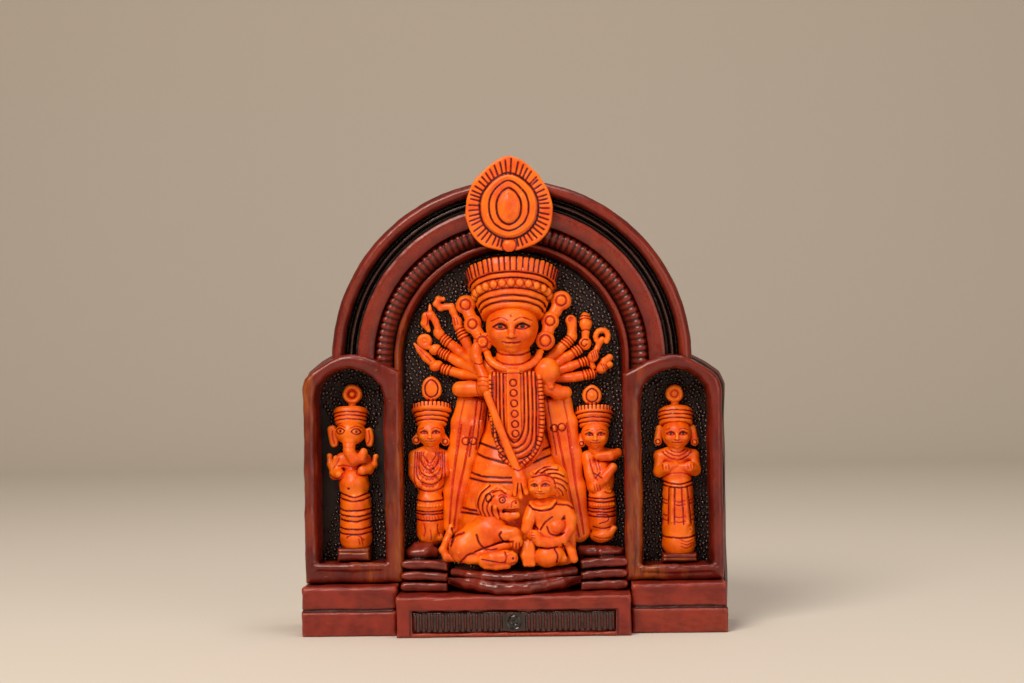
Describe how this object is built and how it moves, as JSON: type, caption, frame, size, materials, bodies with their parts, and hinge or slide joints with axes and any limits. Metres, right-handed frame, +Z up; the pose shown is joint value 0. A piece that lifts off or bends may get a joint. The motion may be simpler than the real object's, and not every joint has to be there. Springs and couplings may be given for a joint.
{
  "type": "terracotta deity shrine plaque",
  "caption": "Upright painted clay plaque: an arched slab on a stepped plinth, side niches with small figures and a many-armed goddess with her lion in the middle.",
  "frame": {"origin": "centre of the overall box in X and Y, on the plane the plinth rests on", "axes": "+Z up, +X to the viewer's right, +Y towards the flat back; the figures face -Y"},
  "size_m": [0.183, 0.048, 0.2],
  "materials": {
    "orange_painted_clay": "orange paint over fired clay, dark wash in the cut lines, semi-gloss varnish",
    "maroon_painted_clay": "maroon paint over fired clay, brushed, semi-gloss varnish",
    "black_painted_clay": "near-black brown paint over stippled fired clay, varnished"
  },
  "bodies": {
    "root": {"arch_broad_band": "maroon_painted_clay", "arch_inner_bead": "maroon_painted_clay", "arch_outer_rim": "maroon_painted_clay", "arch_reed": "black_painted_clay", "arch_ribbed_band": "maroon_painted_clay", "back_slab": "black_painted_clay", "elephant_god_body": "orange_painted_clay", "elephant_god_footing": "maroon_painted_clay", "elephant_god_head": "orange_painted_clay", "elephant_god_headdress": "orange_painted_clay", "fallen_buffalo": "orange_painted_clay", "foe_body": "orange_painted_clay", "foe_head": "orange_painted_clay", "goddess_arm_left_1": "orange_painted_clay", "goddess_arm_left_2": "orange_painted_clay", "goddess_arm_left_3": "orange_painted_clay", "goddess_arm_left_4": "orange_painted_clay", "goddess_arm_right_1": "orange_painted_clay", "goddess_arm_right_2": "orange_painted_clay", "goddess_arm_right_3": "orange_painted_clay", "goddess_arm_right_4": "orange_painted_clay", "goddess_bodice": "orange_painted_clay", "goddess_cloak_left": "orange_painted_clay", "goddess_cloak_right": "orange_painted_clay", "goddess_crown": "orange_painted_clay", "goddess_ear_ornament_left": "orange_painted_clay", "goddess_ear_ornament_right": "orange_painted_clay", "goddess_front_arm_left": "orange_painted_clay", "goddess_front_arm_right": "orange_painted_clay", "goddess_gown": "orange_painted_clay", "goddess_head": "orange_painted_clay", "goddess_shield": "orange_painted_clay", "goddess_trident": "orange_painted_clay", "keystone_bracket": "maroon_painted_clay", "left_attendant_body": "orange_painted_clay", "left_attendant_head": "orange_painted_clay", "left_attendant_headdress": "orange_painted_clay", "lion_body": "orange_painted_clay", "lion_head": "orange_painted_clay", "medallion_boss": "orange_painted_clay", "medallion_disc": "orange_painted_clay", "medallion_ring": "orange_painted_clay", "niche_frame_left": "maroon_painted_clay", "niche_frame_right": "maroon_painted_clay", "plinth_frieze": "black_painted_clay", "plinth_left": "maroon_painted_clay", "plinth_middle": "maroon_painted_clay", "plinth_right": "maroon_painted_clay", "right_attendant_body": "orange_painted_clay", "right_attendant_head": "orange_painted_clay", "right_attendant_headdress": "orange_painted_clay", "right_niche_god_body": "orange_painted_clay", "right_niche_god_footing": "maroon_painted_clay", "right_niche_god_head": "orange_painted_clay", "right_niche_god_headdress": "orange_painted_clay", "stage_lower_tread": "maroon_painted_clay", "stage_steps_left": "maroon_painted_clay", "stage_steps_right": "maroon_painted_clay", "stage_upper_tread": "maroon_painted_clay"}
  },
  "joints": []
}
